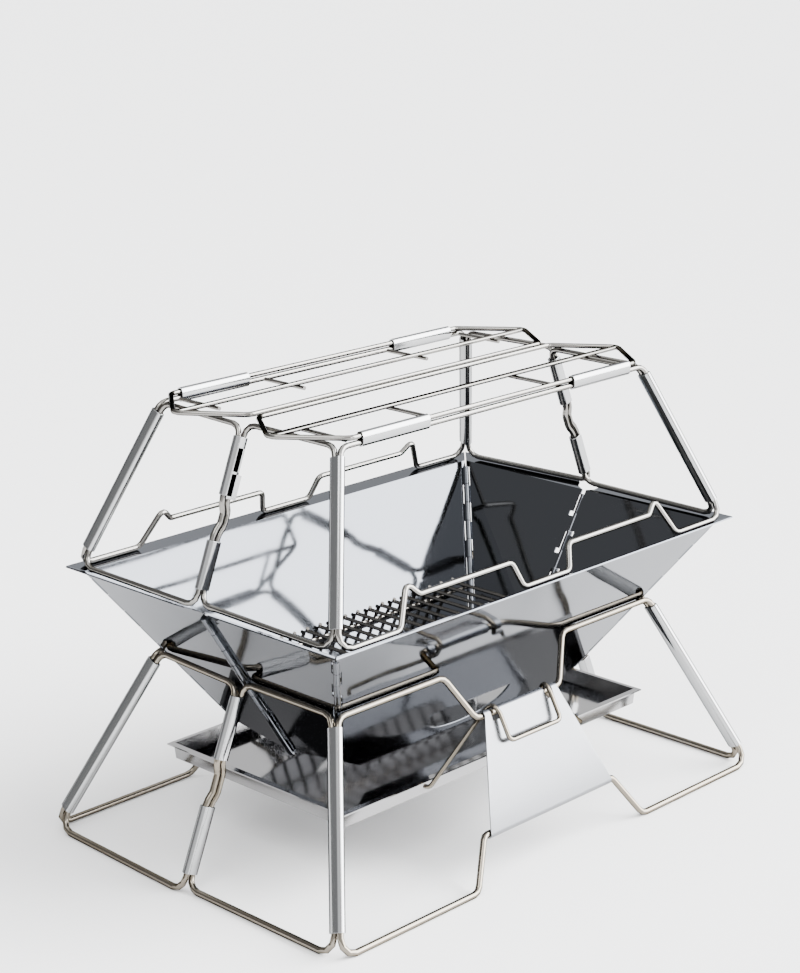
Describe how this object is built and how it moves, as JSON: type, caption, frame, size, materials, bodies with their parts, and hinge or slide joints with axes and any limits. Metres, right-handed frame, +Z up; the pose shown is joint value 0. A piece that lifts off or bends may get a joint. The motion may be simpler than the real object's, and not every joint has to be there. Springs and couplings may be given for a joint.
{
  "type": "folding campfire grate",
  "caption": "Folding stainless fire pit: wire stand with ash tray, hinged panel bowl with charcoal grate, and wire pot stand with a rack on top.",
  "frame": {"origin": "on the ground under the middle of the pit, where the stand's feet rest", "axes": "+Z up; +X along the long side, towards the right end; -Y towards the front, the side that is nearer in the picture"},
  "size_m": [0.4794, 0.3202, 0.3433],
  "materials": {
    "mirror_sheet": "mirror-polished stainless sheet",
    "satin_sheet": "fine satin stainless sheet",
    "pin": "plain steel",
    "sleeve": "polished stainless tube",
    "stand_wire": "polished stainless wire, slightly heat-tinted",
    "grate_wire": "bright drawn wire",
    "pot_wire": "polished stainless wire"
  },
  "bodies": {
    "stand_front": {"stand_front_frame": "stand_wire", "front_plate": "satin_sheet", "stand_front_left_corner_sleeve": "sleeve", "stand_front_right_corner_sleeve": "sleeve"},
    "stand_front_left": {"stand_front_left_end_frame": "stand_wire", "stand_left_lower_middle_sleeve": "sleeve", "stand_left_upper_middle_sleeve": "sleeve"},
    "stand_back_left": {"stand_back_left_end_frame": "stand_wire"},
    "stand_back": {"stand_back_frame": "stand_wire", "back_plate": "satin_sheet", "stand_back_left_corner_sleeve": "sleeve", "stand_back_right_corner_sleeve": "sleeve"},
    "stand_back_right": {"stand_back_right_end_frame": "stand_wire"},
    "stand_front_right": {"stand_front_right_end_frame": "stand_wire", "stand_right_lower_middle_sleeve": "sleeve", "stand_right_upper_middle_sleeve": "sleeve"},
    "front_hanger": {"front_tray_hanger": "stand_wire"},
    "back_hanger": {"back_tray_hanger": "stand_wire"},
    "ash_tray": {"ash_tray": "mirror_sheet"},
    "bowl_front": {"bowl_front_panel": "mirror_sheet", "bowl_front_left_hinge_pin": "pin", "bowl_front_right_hinge_pin": "pin"},
    "bowl_front_left": {"bowl_front_left_end_panel": "mirror_sheet", "bowl_left_middle_hinge_pin": "pin"},
    "bowl_back_left": {"bowl_back_left_end_panel": "mirror_sheet"},
    "bowl_back": {"bowl_back_panel": "mirror_sheet", "bowl_back_left_hinge_pin": "pin", "bowl_back_right_hinge_pin": "pin"},
    "bowl_back_right": {"bowl_back_right_end_panel": "mirror_sheet"},
    "bowl_front_right": {"bowl_front_right_end_panel": "mirror_sheet"},
    "grate": {"charcoal_grate": "grate_wire"},
    "pot_front": {"pot_front_frame": "pot_wire", "pot_front_left_corner_sleeve": "sleeve", "pot_front_right_corner_sleeve": "sleeve", "front_left_rack_sleeve": "sleeve", "front_right_rack_sleeve": "sleeve"},
    "pot_front_left": {"pot_front_left_end_frame": "pot_wire", "pot_left_lower_middle_sleeve": "sleeve", "pot_left_upper_middle_sleeve": "sleeve"},
    "pot_back_left": {"pot_back_left_end_frame": "pot_wire"},
    "pot_back": {"pot_back_frame": "pot_wire", "pot_back_left_corner_sleeve": "sleeve", "pot_back_right_corner_sleeve": "sleeve", "back_left_rack_sleeve": "sleeve", "back_right_rack_sleeve": "sleeve"},
    "pot_back_right": {"pot_back_right_end_frame": "pot_wire"},
    "pot_front_right": {"pot_front_right_end_frame": "pot_wire", "pot_right_lower_middle_sleeve": "sleeve", "pot_right_upper_middle_sleeve": "sleeve"},
    "front_rack": {"front_rack_leaf": "pot_wire"},
    "back_rack": {"back_rack_leaf": "pot_wire"}
  },
  "joints": [
    {"name": "stand_fold", "type": "hinge", "parent": "stand_front", "child": "stand_front_left", "pos_m": [-0.2318, -0.1518, 0.0025], "axis": [-0.3572, -0.3651, -0.8597], "range_deg": [0, 84]},
    {"name": "stand_left_middle_hinge", "type": "hinge", "parent": "stand_front_left", "child": "stand_back_left", "pos_m": [-0.23669, 0, 0.00453], "axis": [0.3837, 0, 0.9234], "range_deg": [0, 154.3]},
    {"name": "stand_back_left_hinge", "type": "hinge", "parent": "stand_back_left", "child": "stand_back", "pos_m": [-0.2318, 0.1518, 0.0025], "axis": [-0.3572, 0.3651, -0.8597], "range_deg": [0, 85]},
    {"name": "stand_back_right_hinge", "type": "hinge", "parent": "stand_back", "child": "stand_back_right", "pos_m": [0.2318, 0.1518, 0.0025], "axis": [0.3572, 0.3651, -0.8597], "range_deg": [0, 85]},
    {"name": "stand_front_right_hinge", "type": "hinge", "parent": "stand_front", "child": "stand_front_right", "pos_m": [0.2318, -0.1518, 0.0025], "axis": [-0.3572, 0.3651, 0.8597], "range_deg": [0, 88.36]},
    {"name": "bowl_lift", "type": "slide", "parent": "stand_front", "child": "bowl_front", "axis": [0, 0, 1], "range_m": [0, 0.3275]},
    {"name": "tray_drop", "type": "slide", "parent": "stand_front", "child": "ash_tray", "axis": [0, 0, -1], "range_m": [0, 0.3715]},
    {"name": "front_hanger_swing", "type": "hinge", "parent": "stand_front", "child": "front_hanger", "pos_m": [0, -0.1119, 0.11], "axis": [-1, 0, 0], "range_deg": [0, 28.72]},
    {"name": "back_hanger_swing", "type": "hinge", "parent": "stand_back", "child": "back_hanger", "pos_m": [0, 0.1119, 0.11], "axis": [1, 0, 0], "range_deg": [0, 28.72]},
    {"name": "bowl_fold", "type": "hinge", "parent": "bowl_front", "child": "bowl_front_left", "pos_m": [-0.1284, -0.0516, 0.0834], "axis": [0.4683, 0.4819, -0.7406], "range_deg": [0, 80]},
    {"name": "bowl_left_middle_hinge", "type": "hinge", "parent": "bowl_front_left", "child": "bowl_back_left", "pos_m": [-0.13153, 0, 0.08142], "axis": [-0.5344, 0, 0.8452], "range_deg": [0, 132.2]},
    {"name": "bowl_back_left_hinge", "type": "hinge", "parent": "bowl_back_left", "child": "bowl_back", "pos_m": [-0.1284, 0.0516, 0.0834], "axis": [0.4683, -0.4819, -0.7406], "range_deg": [0, 81]},
    {"name": "bowl_back_right_hinge", "type": "hinge", "parent": "bowl_back", "child": "bowl_back_right", "pos_m": [0.1284, 0.0516, 0.0834], "axis": [-0.4683, -0.4819, -0.7406], "range_deg": [0, 81]},
    {"name": "bowl_front_right_hinge", "type": "hinge", "parent": "bowl_front", "child": "bowl_front_right", "pos_m": [0.1284, -0.0516, 0.0834], "axis": [0.4683, -0.4819, 0.7406], "range_deg": [0, 87.4]},
    {"name": "grate_lift", "type": "slide", "parent": "bowl_front", "child": "grate", "axis": [0, 0, 1], "range_m": [0, 0.382]},
    {"name": "pot_lift", "type": "slide", "parent": "grate", "child": "pot_front", "axis": [0, 0, 1], "range_m": [0, 0.1279]},
    {"name": "pot_fold", "type": "hinge", "parent": "pot_front", "child": "pot_front_left", "pos_m": [-0.2113, -0.1339, 0.2126], "axis": [-0.3471, -0.322, -0.8808], "range_deg": [0, 88]},
    {"name": "pot_left_middle_hinge", "type": "hinge", "parent": "pot_front_left", "child": "pot_back_left", "pos_m": [-0.21577, 0, 0.21436], "axis": [0.3667, 0, 0.9303], "range_deg": [0, 164.68]},
    {"name": "pot_back_left_hinge", "type": "hinge", "parent": "pot_back_left", "child": "pot_back", "pos_m": [-0.2113, 0.1339, 0.2126], "axis": [-0.3471, 0.322, -0.8808], "range_deg": [0, 89]},
    {"name": "pot_back_right_hinge", "type": "hinge", "parent": "pot_back", "child": "pot_back_right", "pos_m": [0.2113, 0.1339, 0.2126], "axis": [0.3471, 0.322, -0.8808], "range_deg": [0, 89]},
    {"name": "pot_front_right_hinge", "type": "hinge", "parent": "pot_front", "child": "pot_front_right", "pos_m": [0.2113, -0.1339, 0.2126], "axis": [-0.3471, 0.322, 0.8808], "range_deg": [0, 90.76]},
    {"name": "front_rack_flip", "type": "hinge", "parent": "pot_front", "child": "front_rack", "pos_m": [0, -0.09411, 0.33995], "axis": [1, 0, 0], "range_deg": [0, 71.4]},
    {"name": "back_rack_flip", "type": "hinge", "parent": "pot_back", "child": "back_rack", "pos_m": [0, 0.09411, 0.33995], "axis": [-1, 0, 0], "range_deg": [0, 71.4]}
  ],
  "couplings": [
    {"joint": "stand_left_middle_hinge", "follows": "stand_fold", "ratio": 1.825},
    {"joint": "stand_back_left_hinge", "follows": "stand_fold", "ratio": 1},
    {"joint": "stand_back_right_hinge", "follows": "stand_fold", "ratio": 1},
    {"joint": "stand_front_right_hinge", "follows": "stand_fold", "ratio": 1.04},
    {"joint": "bowl_lift", "follows": "stand_fold", "m_per_rad": 0.22},
    {"joint": "tray_drop", "follows": "stand_fold", "m_per_rad": 0.25},
    {"joint": "front_hanger_swing", "follows": "stand_fold", "ratio": 0.33},
    {"joint": "back_hanger_swing", "follows": "stand_fold", "ratio": 0.33},
    {"joint": "bowl_left_middle_hinge", "follows": "bowl_fold", "ratio": 1.64},
    {"joint": "bowl_back_left_hinge", "follows": "bowl_fold", "ratio": 1},
    {"joint": "bowl_back_right_hinge", "follows": "bowl_fold", "ratio": 1},
    {"joint": "bowl_front_right_hinge", "follows": "bowl_fold", "ratio": 1.08},
    {"joint": "grate_lift", "follows": "bowl_fold", "m_per_rad": 0.27},
    {"joint": "pot_left_middle_hinge", "follows": "pot_fold", "ratio": 1.86},
    {"joint": "pot_back_left_hinge", "follows": "pot_fold", "ratio": 1},
    {"joint": "pot_back_right_hinge", "follows": "pot_fold", "ratio": 1},
    {"joint": "pot_front_right_hinge", "follows": "pot_fold", "ratio": 1.02},
    {"joint": "pot_lift", "follows": "pot_fold", "m_per_rad": 0.08},
    {"joint": "front_rack_flip", "follows": "pot_fold", "ratio": 0.8},
    {"joint": "back_rack_flip", "follows": "pot_fold", "ratio": 0.8}
  ]
}
